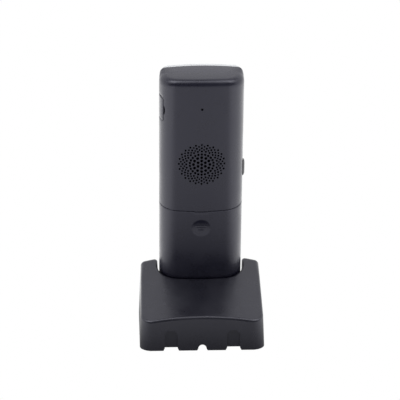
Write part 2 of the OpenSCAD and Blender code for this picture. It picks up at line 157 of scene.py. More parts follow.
def section(s, inset):
    """Point of the cross-section at arc length s from the middle of the back, moved inwards by the inset."""
    s, inset = np.broadcast_arrays(np.asarray(s, float), np.asarray(inset, float))
    side = np.where((s < 0) | (s > S_TURN), -1.0, 1.0)
    u = np.abs(np.where(s > S_TURN, 2 * S_TURN - s, s))
    along = u - S_CORNER
    flank = math.pi / 2 + TILT
    # Arcs of the crown and the corner, the straight side, the front corner and the flat face
    zones = [u <= S_CROWN, u <= S_CORNER, u <= S_SIDE, u <= S_FRONT]
    turn = np.select(zones, [u / CROWN_R, CROWN_A + (u - S_CROWN) / CORNER_R, flank,
                             flank + (u - S_SIDE) / FRONT_R], math.pi)
    reach = np.select([u <= S_CROWN, u <= S_SIDE], [CROWN_R, CORNER_R], FRONT_R) - inset
    x = np.select(zones, [0, CORNER[0], CORNER[0] + along * math.cos(flank), FRONT_CORNER[0]], S_TURN - u)
    y = np.select(zones[:3], [-CROWN_R, CORNER[1], CORNER[1] - along * math.sin(flank)], FRONT_CORNER[1])
    return side * (x + reach * np.sin(turn)), y + reach * np.cos(turn)


def at_x(x):
    """Arc length on the crown of the back at a distance across."""
    return CROWN_R * np.arcsin(np.asarray(x, float) / CROWN_R)


def end_fillet(s, radius):
    """Radius of the rolled edge at an end of the handset: smaller along the sides, and least on the face."""
    u = S_TURN - np.abs(S_TURN - np.abs(s))
    side = np.clip((u - S_PART) / (S_SIDE - S_PART), 0, 1)
    face = np.clip((u - S_SIDE) / (S_FRONT - S_SIDE), 0, 1)
    return radius + (SIDE_FILLET - radius) * side ** 2 * (3 - 2 * side) + (FACE_FILLET - SIDE_FILLET) * face


def top_edge(x):
    """Height of the shallow arch that ends the handset."""
    return LENGTH - np.asarray(x) ** 2 / (2 * TOP_R)


def bottom_edge(x):
    """Height of the flat lower end."""
    return 0 * np.asarray(x)


# The two ends: height, way out of the handset, radius of the rolled edge
TOP = (top_edge, 1, TOP_FILLET)
BOTTOM = (bottom_edge, -1, BOTTOM_FILLET)


# ---- outlines and triangles

def arc(centre, radius, first, last, steps):
    """Points along an arc, angles in degrees."""
    turn = np.radians(np.linspace(first, last, steps + 1))
    return np.stack([centre[0] + radius * np.cos(turn), centre[1] + radius * np.sin(turn)], 1)


def circle(centre, radius, steps):
    return arc(centre, radius, 0, 360, steps)[:-1]


def distinct(loop):
    """The closed loop without points that repeat the one before."""
    return loop[np.abs(loop - np.roll(loop, 1, axis=0)).max(axis=1) > 1e-6]


def rounded(low, high, radius, steps=6):
    """Rectangle with rounded corners, anticlockwise from the lower right."""
    left, lower = low[0] + radius, low[1] + radius
    right, upper = high[0] - radius, high[1] - radius
    corners = ((right, lower), (right, upper), (left, upper), (left, lower))
    return distinct(np.vstack([arc(centre, radius, 90 * i - 90, 90 * i, steps)
                               for i, centre in enumerate(corners)]))


def divide(loop, longest):
    """The closed loop with its long edges divided."""
    out = []
    for here, there in zip(loop, np.roll(loop, -1, axis=0)):
        steps = max(1, math.ceil(np.hypot(*(there - here)) / longest))
        out.append(here + (there - here) * np.arange(steps)[:, None] / steps)
    return np.vstack(out)


def grow(loop, distance):
    """The closed anticlockwise loop moved outwards."""
    edge = np.roll(loop, -1, axis=0) - loop
    out = np.stack([edge[:, 1], -edge[:, 0]], 1)
    out /= np.hypot(out[:, 0], out[:, 1])[:, None]
    before = np.roll(out, 1, axis=0)
    mitre = (out + before) / (1 + (out * before).sum(axis=1))[:, None]
    return loop + distance * mitre


def inside(loop, points):
    """Which points lie inside a closed loop."""
    found = np.zeros(len(points), bool)
    near = np.flatnonzero(((points >= loop.min(axis=0)) & (points <= loop.max(axis=0))).all(axis=1))
    x, y = points[near, 0], points[near, 1]
    odd = np.zeros(len(near), bool)
    for (x0, y0), (x1, y1) in zip(loop, np.roll(loop, -1, axis=0)):
        if y0 != y1:
            odd ^= ((y0 > y) != (y1 > y)) & (x < x0 + (y - y0) * (x1 - x0) / (y1 - y0))
    found[near] = odd
    return found


def fill_points(outline, spacing, holes=()):
    """Staggered points inside an outline, clear of its edge and of its holes."""
    low, high = outline.min(axis=0), outline.max(axis=0)
    points = []
    for i, height in enumerate(np.arange(low[1], high[1], spacing * 0.87)):
        across = np.arange(low[0] + spacing * (0.25 + 0.5 * (i % 2)), high[0], spacing)
        points.append(np.stack([across, np.full(len(across), height)], 1))
    points = np.vstack(points)
    points = points[inside(grow(outline, -0.45 * spacing), points)]
    for hole in holes:
        points = points[~inside(grow(hole, 0.4 * spacing), points)]
    return points


def triangulate(outline, holes=(), lines=(), extra=()):
    """Triangles between an outline and its holes, through extra lines and points."""
    loops = [outline, *holes, *lines]
    points = np.vstack([*loops, np.reshape(extra, (-1, 2))])
    edges = []
    for loop in loops:
        start, count = len(edges), len(loop)
        edges += [(start + i, start + (i + 1) % count) for i in range(count)]
    found = delaunay_2d_cdt([Vector(p) for p in points], edges, [], 0, 1e-5)
    names = [origin[0] for origin in found[3]]
    faces = np.array([[names[i] for i in face] for face in found[2]])
    centres = points[faces].mean(axis=1)
    keep = inside(outline, centres)
    for hole in holes:
        keep &= ~inside(hole, centres)
    return points, faces[keep]


# ---- meshes

def make(name, points, faces, material, smooth=40):
    """Object from points in millimetres, with closed surfaces facing outwards."""
    mesh = bpy.data.meshes.new(name)
    mesh.from_pydata([tuple(p) for p in np.asarray(points) * MM], [], [tuple(f) for f in faces])
    work = bmesh.new()
    work.from_mesh(mesh)
    bmesh.ops.recalc_face_normals(work, faces=work.faces)
    work.to_mesh(mesh)
    work.free()
    mesh.shade_smooth()
    mesh.set_sharp_from_angle(angle=math.radians(smooth))
    mesh.materials.append(material)
    piece = bpy.data.objects.new(name, mesh)
    bpy.context.scene.collection.objects.link(piece)
    return piece


class Solid:
    """Points and faces gathered from several surfaces that meet at equal points."""

    def __init__(self):
        self.points = []
        self.faces = []
        self.count = 0

    def add(self, points, faces):
        points = np.asarray(points, float).reshape(-1, 3)
        self.points.append(points)
        self.faces += [tuple(np.asarray(face) + self.count) for face in faces]
        self.count += len(points)

    def merged(self):
        """Points with repeats joined, and the faces that still have three corners."""
        points = np.vstack(self.points)
        _, first, name = np.unique(np.round(points, 4), axis=0, return_index=True, return_inverse=True)
        name = name.reshape(-1)
        faces = []
        for face in self.faces:
            loop = [name[i] for i in face]
            loop = [v for i, v in enumerate(loop) if v != loop[i - 1]]
            if len(loop) > 2 and len(set(loop)) == len(loop):
                faces.append(loop)
        return first, faces

    def build(self, name, material, smooth=40):
        first, faces = self.merged()
        return make(name, np.vstack(self.points)[first], faces, material, smooth)


class Shell(Solid):
    """A wall: each point outside has a partner inside, and open edges are closed between the two."""

    def __init__(self):
        super().__init__()
        self.partners = []

    def wall(self, outer, inner, faces):
        self.partners.append(np.asarray(inner, float).reshape(-1, 3))
        self.add(outer, faces)

    def closed(self):
        """Points and faces of the wall as one closed solid."""
        first, faces = self.merged()
        outer = np.vstack(self.points)[first]
        inner = np.vstack(self.partners)[first]
        count = len(outer)
        uses = {}
        for face in faces:
            for a, b in zip(face, face[1:] + face[:1]):
                uses.setdefault((min(a, b), max(a, b)), []).append((a, b))
        sides = [(b, a, a + count, b + count) for (a, b), *more in uses.values() if not more]
        backs = [[v + count for v in reversed(face)] for face in faces]
        return np.vstack([outer, inner]), faces + backs + sides

    def build(self, name, material, smooth=40):
        solid = Solid()
        solid.add(*self.closed())
        return solid.build(name, material, smooth)


def grid_faces(rows, columns, closed=False):
    """Quads of a grid of points stored row by row."""
    last = columns if closed else columns - 1
    return [(r * columns + c, r * columns + (c + 1) % columns,
             (r + 1) * columns + (c + 1) % columns, (r + 1) * columns + c)
            for r in range(rows - 1) for c in range(last)]


def lathe(centre, profile, place, steps):
    """Points and faces of a shape of revolution, from a profile of (radius, height)."""
    rows = [place(*circle(centre, radius, steps).T, height) for radius, height in profile]
    return np.vstack(rows), grid_faces(len(rows), steps, True)


def settle(piece, body, slot, *nodes):
    """Ties a piece to its body and hides the CAD nodes that it stands for; the slot is not used."""
    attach(piece, body)
    if nodes:
        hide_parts(*nodes)


# ---- the handset's shells

def flat(points):
    return np.zeros(len(points))


def inner_height(s, w, x):
    """Heights for the inside of a wall, which stops short of an end where the rolled edge is a small one."""
    for edge, sign, radius in (TOP, BOTTOM):
        fillet = end_fillet(s, radius)
        near = np.clip(1 + (sign * (w - edge(x)) + fillet) / 4, 0, 1)
        w = w - sign * near * np.maximum(INNER_DEEP - fillet, 0)
    return w


def skin(shell, outline, holes=(), rim=flat, relief=flat, lines=(), extra=(), spacing=1.8,
         outer=0.0, thick=WALL):
    """A stretch of wall over an outline in (s, w), with small bevels round its holes."""
    rings = [grow(outline, -BEVEL)] + [grow(hole, BEVEL) for hole in holes]
    fill = np.vstack([fill_points(outline, spacing, [*holes, *lines]), np.reshape(extra, (-1, 2))])
    points, faces = triangulate(outline, holes, [*rings, *lines], fill)
    inset = outer + relief(points)
    inset[:len(outline)] += rim(outline)
    inset[len(outline):len(outline) + sum(len(hole) for hole in holes)] += BEVEL
    x, y = section(points[:, 0], inset)
    inner_x, inner_y = section(points[:, 0], outer + thick)
    inner_w = inner_height(points[:, 0], points[:, 1], x)
    shell.wall(in_hand(x, y, points[:, 1]), in_hand(inner_x, inner_y, inner_w), faces)


def s_row(first, last):
    """Arc lengths along the section, closer together where it is tightly curved."""
    stops = [-S_PART, -S_CROWN, 0, S_CROWN, S_PART, S_CORNER, S_SIDE, S_FRONT, S_TURN,
             2 * S_TURN - S_FRONT, 2 * S_TURN - S_SIDE, 2 * S_TURN - S_CORNER, 2 * S_TURN - S_PART]
    pitch = [1.2, 1.7, 1.7, 1.2, 1, 1.2, 0.35, 2, 2, 0.35, 1.2, 1]
    row = []
    for low, high, step in zip(stops, stops[1:], pitch):
        if low >= first - 1e-6 and high <= last + 1e-6:
            row.append(np.linspace(low, high, math.ceil((high - low) / step) + 1))
    return np.unique(np.round(np.concatenate(row), 6))


def end_start(row, edge, sign, radius):
    """Where the rolled edge starts along the handset, for each arc length of a row."""
    return edge(section(row, 0)[0]) - sign * end_fillet(row, radius)


def close_end(shell, row, edge, sign, radius):
    """Rolled edge and flat end beyond a row of arc lengths. The row is symmetric about its middle."""
    fillet = end_fillet(row, radius)
    deep = np.maximum(fillet, INNER_DEEP)
    outer, inner = [], []
    for turn in np.linspace(0, math.pi / 2, 8):
        inset = fillet * (1 - math.cos(turn))
        x, y = section(row, inset)
        outer.append(in_hand(x, y, edge(x) - sign * fillet * (1 - math.sin(turn))))
        inner_x, inner_y = section(row, deep - (deep - WALL) * math.cos(turn))
        drop = deep - (deep - WALL) * math.sin(turn)
        inner.append(in_hand(inner_x, inner_y, edge(x) - sign * drop))
    shell.wall(np.vstack(outer), np.vstack(inner), grid_faces(len(outer), len(row)))
    # The flat end, closed along the parting line
    loop = np.stack(section(row, fillet), 1)
    closing = np.linspace(loop[-1], loop[0], 17)[1:-1]
    loop = np.vstack([loop, closing])[::-1]
    points, faces = triangulate(loop, extra=fill_points(loop, 5))
    if sign < 0:
        faces = [face[::-1] for face in faces]
    x, y = points.T
    shell.wall(in_hand(x, y, edge(x)), in_hand(x, y, edge(x) - sign * WALL), faces)


def straight(s, first, last):
    """Points of (s, w) along a straight side, without its ends."""
    heights = np.linspace(first, last, math.ceil(abs(last - first) / 2) + 1)[1:-1]
    return np.stack([np.full(len(heights), s), heights], 1)


def band(row, low, high, high_row=None):
    """Outline in (s, w) between a lower and an upper edge; the upper one may have a row of its own."""
    high_row = row if high_row is None else high_row
    return np.vstack([np.stack([row, low], 1), straight(row[-1], low[-1], high[-1]),
                      np.stack([high_row, high], 1)[::-1], straight(row[0], high[0], low[0])])


def with_tab(row, w):
    """Row of arc lengths and heights for an edge with a shallow step at its middle."""
    tab = at_x(TAB_HALF)
    keep = row[(np.abs(row) < tab - 0.3) | (np.abs(row) > tab + 0.5)]
    slope = 0.25
    ends = np.array([-tab - slope, -tab, tab, tab + slope])
    row = np.sort(np.concatenate([keep, ends]))
    return row, w - TAB_STEP * (np.abs(row) <= tab + 1e-6)


def grille_holes():
    """Circles of the speaker grille in (s, w)."""
    holes = []
    for radius, count, diameter, turn in GRILLE:
        for i in range(count):
            angle = math.radians(turn + 360 * i / count)
            centre = (at_x(radius * math.sin(angle)), GRILLE_W + radius * math.cos(angle))
            holes.append(circle(centre, GRILLE_WIDER * diameter / 2, 14))
    return holes


def arc_length_at(depth):
    """Arc length on the corner arc at a depth from the back."""
    return S_CROWN + CORNER_R * (math.acos((-depth - CORNER[1]) / CORNER_R) - CROWN_A)


FLAP_BACK = arc_length_at(-FLAP_HIGH[1])
FLAP_FRONT = arc_length_at(-FLAP_LOW[1] - 0.7)
NOTCH_HALF = 3.2
FLAP_GAP = 0.3
NOTCH_DEPTH = 1.2


def flap_outline(gap):
    """Outline of the headset cover, grown by a gap."""
    low, high = (FLAP_BACK - gap, FLAP_LOW[2] - gap), (FLAP_FRONT + gap, FLAP_HIGH[2] + gap)
    return rounded(low, high, 1.1 + gap, 4)


def flap_opening():
    """Opening under the headset cover, with a thumbnail notch in its rear edge."""
    outline = flap_outline(FLAP_GAP)
    middle = (FLAP_LOW[2] + FLAP_HIGH[2]) / 2
    turn = np.linspace(0, math.pi, 15)
    rear = outline[:, 0].min()
    notch = np.stack([rear - NOTCH_DEPTH * np.sin(turn), middle + NOTCH_HALF * np.cos(turn)], 1)
    last = np.flatnonzero(outline[:, 1] > middle)[-1] + 1
    return np.vstack([outline[:last], notch, outline[last:]])


def side_slot(row_end):
    """Half of the side key's opening, as a notch in the parting edge at arc length -row_end."""
    depth = (SIDE_HIGH[1] - SIDE_LOW[1]) / 2 + GAP
    radius = min(depth - 0.05, 1.6)
    middle = -row_end + depth - radius
    return np.vstack([arc((middle, SIDE_HIGH[2] + GAP - radius), radius, 90, 0, 4),
                      arc((middle, SIDE_LOW[2] - GAP + radius), radius, 0, -90, 4)])


def rear_rim(w_split, w_end):
    """Bevel along the upper split line and the parting line, none where the wall runs on into the end."""
    def rim(points):
        near_split = np.abs(points[:, 1] - w_split) < TAB_STEP + 0.1
        on_side = (np.abs(points[:, 0]) > S_PART - 3) & (np.abs(points[:, 1] - w_end) > 5)
        return BEVEL * (near_split | on_side)
    return rim


def cut_notch(outline, notch):
    """The outline with its left side replaced by a notch between the notch's heights."""
    low, high = notch[:, 1].min(), notch[:, 1].max()
    left = outline[:, 0].min()
    between = (outline[:, 0] < left + 1e-6) & (outline[:, 1] > low - 0.6) & (outline[:, 1] < high + 0.6)
    first = np.flatnonzero(between)[0]
    kept = outline[~between]
    return np.vstack([kept[:first], [left, high], notch, [left, low], kept[first:]])


def rear_shell(material):
    """Rear case: upper wall with the grille, lower wall, and the battery bay between them."""
    upper = Shell()
    row = s_row(-S_PART, S_PART)
    tab_row, split = with_tab(row, COVER_HIGH[2] + GAP)
    outline = cut_notch(band(tab_row, split, end_start(row, *TOP), row), side_slot(S_PART))
    holes = [*grille_holes(), circle((0, REAR_MIC_W), REAR_MIC_R, 16), flap_opening()]
    skin(upper, outline, holes, rear_rim(COVER_HIGH[2] + GAP, LENGTH))
    close_end(upper, row, *TOP)

    lower = Shell()
    outline = band(row, end_start(row, *BOTTOM), np.full(len(row), COVER_LOW[2] - GAP))
    screw_s = arc_at_x(CASE_SCREW[0])
    holes = [circle((side * screw_s, CASE_SCREW[1]), 2.1, 20) for side in (-1, 1)]
    skin(lower, outline, holes, rear_rim(LENGTH, 0))
    close_end(lower, row, *BOTTOM)

    case = Solid()
    for part in (upper, lower, battery_bay(), flap_pocket()):
        case.add(*part.closed())
    for side in (-1, 1):
        centre = (side * CASE_SCREW[0], CASE_SCREW[1])
        case.add(*cup(centre, outer_r=2.3, inner_r=2.15, top=-1.8, floor=-6.2))
    return case.build("rear_shell", material)


def arc_at_x(x):
    """Arc length on the corner arc at a distance across."""
    return S_CROWN + CORNER_R * (math.asin((x - CORNER[0]) / CORNER_R) - CROWN_A)


def cup(centre, outer_r, inner_r, top, floor):
    """Open tube with a floor, standing along the depth: points and faces."""
    under = floor - 0.8
    profile = [(outer_r, top), (outer_r, under), (0, under), (0, floor), (inner_r, floor), (inner_r, top),
               (outer_r, top)]
    return lathe(centre, profile, on_front, 24)


def battery_bay():
    """Recessed ledge under the battery cover and the tray for the two cells."""
    ledge = 1.9
    wall = 0.9
    reach = S_PART + 1.5
    tray = arc_at_x(22)
    floor = -PARTING + 1
    bay = Shell()
    row = np.linspace(-reach, reach, 41)
    outline = band(row, np.full(41, COVER_LOW[2] - 1.4), np.full(41, COVER_HIGH[2] + 1.4))
    edge = divide(rounded((-tray, COVER_LOW[2] + 2), (tray, COVER_HIGH[2] - 2), 2.5), 2)
    points, faces = triangulate(outline, [edge], extra=fill_points(outline, 2.2, [edge]))
    s, w = points.T
    bay.wall(in_hand(*section(s, ledge), w), in_hand(*section(s, ledge + 1), w), faces)
    # Walls from the edge of the opening down to the floor: after the first step their backs stand straight
    s, w = edge.T
    x, y = section(s, ledge)
    back_x, back_w = grow(np.stack([x, w], 1), wall).T
    outer, inner = [in_hand(x, y, w)], [in_hand(*section(s, ledge + 1), w)]
    for share in np.linspace(0, 1, 4)[1:]:
        depth = y + (floor - y) * share
        outer.append(in_hand(x, depth, w))
        inner.append(in_hand(back_x, depth - wall * share, back_w))
    bay.wall(np.vstack(outer), np.vstack(inner), [face[::-1] for face in grid_faces(4, len(edge), True)])
    outline = np.stack([x, w], 1)
    points, faces = triangulate(outline, extra=fill_points(outline, 6))
    under = points.copy()
    under[:len(edge)] = np.stack([back_x, back_w], 1)
    bay.wall(on_front(*points.T, floor), on_front(*under.T, floor - wall), faces)
    return bay


def flap_pocket():
    """Floor of the pocket under the headset cover, with the hole of the jack."""
    pocket = Shell()
    outline = divide(flap_outline(0.8), 1.6)
    outline[:, 0] -= np.where(outline[:, 0] < FLAP_BACK, NOTCH_DEPTH, 0)
    hole = circle((arc_length_at(10.4), (FLAP_LOW[2] + FLAP_HIGH[2]) / 2), 2.6, 24)
    skin(pocket, outline, [hole], outer=1.5, thick=1.0, spacing=1.6)
    return pocket


def battery_cover(material):
    """Battery cover with its thumb recess and three grooves."""
    cover = Shell()
    row = np.clip(s_row(-S_PART, S_PART), -S_PART + 0.1, S_PART - 0.1)
    tab_row, split = with_tab(row, COVER_HIGH[2] + GAP - SPLIT_GAP)
    outline = band(row, np.full(len(row), COVER_LOW[2]), split, tab_row)
    rings = [circle((0, THUMB_W), THUMB_R + extra, 56) for extra in (0.5, 0, -0.35)]
    ticks = np.arange(-THUMB_R, THUMB_R, 0.3)
    fine = np.stack(np.meshgrid(ticks, ticks), -1).reshape(-1, 2)
    fine = fine[np.hypot(*fine.T) < THUMB_R - 0.55] + (0, THUMB_W)

    def rim(points):
        return BEVEL * (points[:, 1] > COVER_LOW[2] + 1)

    skin(cover, outline, [], rim, thumb_relief, rings, fine)
    return cover.build("battery_door", material, 50)


def thumb_relief(points):
    """Depth of the thumb recess: a hollow that is deeper near its upper edge, with three fine grooves."""
    x, w = points[:, 0], points[:, 1] - THUMB_W
    across = np.hypot(x, w) / (THUMB_R - 0.2)
    depth = THUMB_DEPTH * np.clip(1 - across ** 2, 0, 1) * (1 + 0.2 * w / THUMB_R)
    for height, half in GROOVES:
        ends = np.clip((half - np.abs(x)) / 0.5, 0, 1)
        depth += GROOVE_DEPTH * ends * np.exp(-((w - height) / 0.28) ** 4) * (across < 1)
    return depth


def front_shell(material):
    """Front case: sides and face, with the openings for the display and the keys."""
    shell = Shell()
    row = s_row(S_PART, 2 * S_TURN - S_PART)
    row[0] += SEAM
    row[-1] -= SEAM
    # The side key's opening is at the end of the row, so the outline is turned round to cut it
    outline = mirrored(band(row, end_start(row, *BOTTOM), end_start(row, *TOP)))
    outline = mirrored(cut_notch(outline, side_slot(row[-1])))
    holes = [on_face(rounded(WINDOW_LOW[[0, 2]] - 0.1, WINDOW_HIGH[[0, 2]] + 0.1, 2.5))]
    holes += [on_face(key_outline(key, 0.35)) for key in FACE_KEYS if key != "key_ok"]

    def rim(points):
        on_side = (points[:, 1] > 5) & (points[:, 1] < LENGTH - 5)
        edge = (points[:, 0] < S_PART + 1) | (points[:, 0] > 2 * S_TURN - S_PART - 1)
        return BEVEL * (on_side & edge)

    skin(shell, outline, holes, rim, spacing=2.4)
    for end in (TOP, BOTTOM):
        close_end(shell, row, *end)
    return shell.build("front_shell", material)


def mirrored(loop):
    """The closed loop mirrored across, still anticlockwise."""
    return (loop * (-1, 1))[::-1]


def on_face(loop):
    """A loop in (x, w) on the front face, in (s, w)."""
    return mirrored(loop) + (S_TURN, 0)


# ---- plates and keys

def on_front(u, v, height):
    """Places a plate on the handset's front: u across, v along, height along the depth."""
    return in_hand(u, height, v)


def on_side(u, v, height):
    """Places a plate on a side of the handset: u along the depth, v along, height across."""
    return in_hand(height, u, v)


def on_table(u, v, height):
    """Places a shape in the row frame itself."""
    u, v, height = np.broadcast_arrays(u, v, height)
    return np.stack([u, v, height], -1)


def plate(name, outline, holes, back, front, edge, material, spacing=3.0, crown=flat, place=on_front):
    """Plate between two heights with rolled front edges; crown() lifts its front face."""
    solid = Solid()
    sign = 1 if front > back else -1
    tops = []
    for loop, way in [(outline, -1)] + [(hole, 1) for hole in holes]:
        rows = [place(*loop.T, back)]
        for turn in np.linspace(0, math.pi / 2, 5):
            moved = grow(loop, way * edge * (1 - math.cos(turn)))
            height = front - sign * edge * (1 - math.sin(turn)) + sign * crown(moved)
            rows.append(place(*moved.T, height))
        solid.add(np.vstack(rows), grid_faces(len(rows), len(loop), True))
        tops.append(moved)
    points, faces = triangulate(tops[0], tops[1:], extra=fill_points(tops[0], spacing, tops[1:]))
    solid.add(place(*points.T, front + sign * crown(points)), faces)
    points, faces = triangulate(outline, holes)
    solid.add(place(*points.T, back), faces)
    return solid.build(name, material, 50)


def turned(name, centre, profile, material, place=on_table):
    """Shape of revolution from a profile of (radius, height) that starts and ends on the axis."""
    solid = Solid()
    solid.add(*lathe(centre, profile, place, 40))
    return solid.build(name, material)


DIGIT_KEYS = {"key_star": "*", "key_0": "0", "key_hash": "#", "key_7": "7", "key_8": "8", "key_9": "9",
              "key_4": "4", "key_5": "5", "key_6": "6", "key_1": "1", "key_2": "2", "key_3": "3"}
KEY_CORNER = 2.4
# The other keys with their corner radius
OTHER_KEYS = {"key_talk": 3, "key_end": 3, "key_menu_left": KEY_CORNER, "key_menu_right": KEY_CORNER}
ROUND_KEYS = ["key_ok", "key_navigation"]
FACE_KEYS = [*DIGIT_KEYS, *OTHER_KEYS, *ROUND_KEYS]
KEY_FLANGE = 0.5
KEY_CROWN = 0.25
# The navigation ring has a groove at this share of its radius
RING_GROOVE = 0.76
RING_DEPTH = 0.35


def key_box(key):
    """Lower left and upper right corners of a key's cap, and its front."""
    low, high = hand_box(key)
    flange = 0 if key == "key_navigation" else KEY_FLANGE
    return low[[0, 2]] + flange, high[[0, 2]] - flange, low[1]


def key_outline(key, gap):
    """Outline of a key's cap, grown by a gap."""
    low, high, _ = key_box(key)
    if key in ROUND_KEYS:
        return circle((low + high) / 2, (high - low)[0] / 2 + gap, 48)
    return rounded(low - gap, high + gap, OTHER_KEYS.get(key, KEY_CORNER) + gap, 5)


def key_crown(key):
    """How far a key's top rises over its front: it falls off towards the edges, and the ring has a groove."""
    low, high, _ = key_box(key)
    middle, half = (low + high) / 2, (high - low) / 2

    def crown(points):
        u, v = ((np.asarray(points)[:, :2] - middle) / half).T
        if key == "key_navigation":
            away = np.abs(np.hypot(u, v) - RING_GROOVE) / (1 - RING_GROOVE)
            return -RING_DEPTH * np.clip(1 - away, 0, 1) ** 2
        return KEY_CROWN * (np.clip(1 - u * u, 0, 1) * np.clip(1 - v * v, 0, 1) - 1)
    return crown


def face_key(key, material, ink):
    """A key's cap, with its mark."""
    low, high, front = key_box(key)
    outline = key_outline(key, 0)
    holes = []
    if key == "key_navigation":
        ok_low, ok_high, _ = key_box("key_ok")
        holes = [circle((low + high) / 2, (ok_high - ok_low)[0] / 2 + 0.8, 40)]
    cap = plate(key + "_cap", outline, holes, FACE + 3.2, front, 0.5, material, 0.9, key_crown(key))
    settle(cap, key, "key_plastic", key)
    for mark in key_marks(key, ink):
        settle(mark, key, "key_plastic")


MARK_PROUD = 0.07
MARK_SUNK = 0.15


def drape(name, points, faces, key, material):
    """A thin mark laid on a key's rounded top, from flat points (u, v)."""
    x, w = points.T
    height = key_box(key)[2] - key_crown(key)(points)
    mark = Shell()
    mark.wall(in_hand(x, height - MARK_PROUD, w), in_hand(x, height + MARK_SUNK, w), faces)
    return mark.build(name, material, 30)


def key_marks(key, ink):
    """Generic marks: the digits, a bar on the call keys and the menu keys, and four small arrows."""
    low, high, _ = key_box(key)
    middle = (low + high) / 2
    if key in DIGIT_KEYS:
        return [digit_mark(key, middle, ink["pale"])]
    if key == "key_navigation":
        tip = RING_GROOVE * (high - low)[0] / 2 + 0.7
        arrow = np.array([(tip, 0), (tip - 1.1, 1.1), (tip - 1.1, -1.1)])
        loops = [middle + arrow @ ((x, y), (-y, x)) for x, y in circle((0, 0), 1, 4)]
    elif key == "key_ok":
        loops = [circle(middle, 0.7, 24)]
    else:
        half = (2.6 if key in ("key_talk", "key_end") else 1.6, 0.45)
        loops = [rounded(middle - half, middle + half, 0.44, 4)]
    colour = ink[{"key_talk": "green", "key_end": "red"}.get(key, "pale")]
    marks = []
    for i, loop in enumerate(loops):
        points, faces = triangulate(divide(loop, 0.5), extra=fill_points(loop, 0.5))
        marks.append(drape(f"{key}_mark_{i}", points, faces, key, colour))
    return marks


def digit_mark(key, middle, material):
    """A digit from Blender's own plain font, laid on the key."""
    curve = bpy.data.curves.new(key + "_glyph", "FONT")
    curve.body = DIGIT_KEYS[key]
    curve.size = 5.2
    curve.resolution_u = 4
    holder = bpy.data.objects.new(key + "_glyph", curve)
    bpy.context.scene.collection.objects.link(holder)
    bpy.context.view_layer.update()
    mesh = bpy.data.meshes.new_from_object(holder.evaluated_get(bpy.context.evaluated_depsgraph_get()))
    bpy.data.objects.remove(holder)
    bpy.data.curves.remove(curve)
    # Small faces follow the key's rounded top
    fine = bmesh.new()
    fine.from_mesh(mesh)
    bmesh.ops.triangulate(fine, faces=fine.faces)
    bmesh.ops.subdivide_edges(fine, edges=fine.edges, cuts=4, use_grid_fill=True)
    fine.to_mesh(mesh)
    fine.free()
    points = np.array([v.co[:2] for v in mesh.vertices])
    faces = [list(p.vertices) for p in mesh.polygons]
    bpy.data.meshes.remove(mesh)
    points += middle - (points.min(axis=0) + points.max(axis=0)) / 2
    return drape(key + "_digit", points, faces, key, material)


# Corners of the silver frame and its opening for the keys
FRAME_FOOT_R = 5
FRAME_HEAD_R = 3.2
KEYS_HALF = 23.2
KEYS_LOW = 17
KEYS_HIGH = 93.5


def front_plate(material):
    """Silver frame on the front, with the display and key openings."""
    half = PLATE_HIGH[0]
    rise = PLATE_HIGH[2] - top_edge(0)
    foot_x, foot_w = half - FRAME_FOOT_R, PLATE_LOW[2] + FRAME_FOOT_R
    head_x, head_w = half - FRAME_HEAD_R, top_edge(half) + rise - FRAME_HEAD_R + 0.3
    arch = np.linspace(half - 3, 3 - half, 25)
    outline = np.vstack([arc((foot_x, foot_w), FRAME_FOOT_R, -90, 0, 8),
                         arc((head_x, head_w), FRAME_HEAD_R, 0, 84, 8),
                         np.stack([arch, top_edge(arch) + rise], 1),
                         arc((-head_x, head_w), FRAME_HEAD_R, 96, 180, 8),
                         arc((-foot_x, foot_w), FRAME_FOOT_R, 180, 270, 8)])
    keys = rounded((-KEYS_HALF, KEYS_LOW), (KEYS_HALF, KEYS_HIGH), 4)
    window = rounded(WINDOW_LOW[[0, 2]] - GAP, WINDOW_HIGH[[0, 2]] + GAP, 2.5)
    slot = rounded((-7, RECEIVER_W - 0.9), (7, RECEIVER_W + 0.9), 0.85, 5)
    holes = [divide(keys, 3), divide(window, 3), slot, circle((0, MIC_W), 0.8, 16)]
    outline = divide(distinct(outline), 3)
    return plate("front_frame_plate", outline, holes, -SHELL - 0.02, FACE, 0.28, material)


# ---- the cradle as a distance field

HOUSING_LOW, HOUSING_HIGH = (np.array(corner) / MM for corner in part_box("cradle_housing"))
BASE_W = HOUSING_HIGH[0] - HOUSING_LOW[0]
BASE_D = HOUSING_HIGH[1] - HOUSING_LOW[1]
FOOT_GAP = HOUSING_LOW[2]
BASE_CORNER = 8
BASE_WALL = 2.2
DRAFT = 1.7 / 46
ROOF_R = 225
REAR_H = 22.9
TOP_SLOPE = 22.5
FRONT_SLOPE = 58
RIDGE_Y = -19
RIDGE_Z = REAR_H + (BASE_D / 2 - 1.5 - RIDGE_Y) * math.tan(math.radians(TOP_SLOPE))
LIP_Y = 1.2 - BASE_D / 2
LIP_H = 19
SILL_H = 24
SEAT_GAP = 1
SEAT_HALF = HALF + SEAT_GAP
ARCH_X = 19.7
ARCH_HALF = 4.05
ARCH_TOP = 13.75
ARCH_DEPTH = 1.6
FLARE_HALF = 5.2
FLARE_H = 2.3
NOTCH_W = 5.2
NOTCH_H = 4.4
BOSS_AT = (31, 12)
BOSS_R = 3
RIDGE_ROUND = 2.5
EDGE_ROUND = 1.3
CONTACT_X = 7.5
CONTACT_Y = -13


def smax(a, b, radius):
    """The larger of two distances, with a rounded crossing."""
    outside = np.hypot(np.maximum(a + radius, 0), np.maximum(b + radius, 0))
    return np.minimum(np.maximum(a, b), -radius) + outside


def box_field(u, v, half_u, half_v, radius):
    """Distance to a rounded rectangle about the origin."""
    du, dv = np.abs(u) - half_u + radius, np.abs(v) - half_v + radius
    return np.hypot(np.maximum(du, 0), np.maximum(dv, 0)) + np.minimum(np.maximum(du, dv), 0) - radius


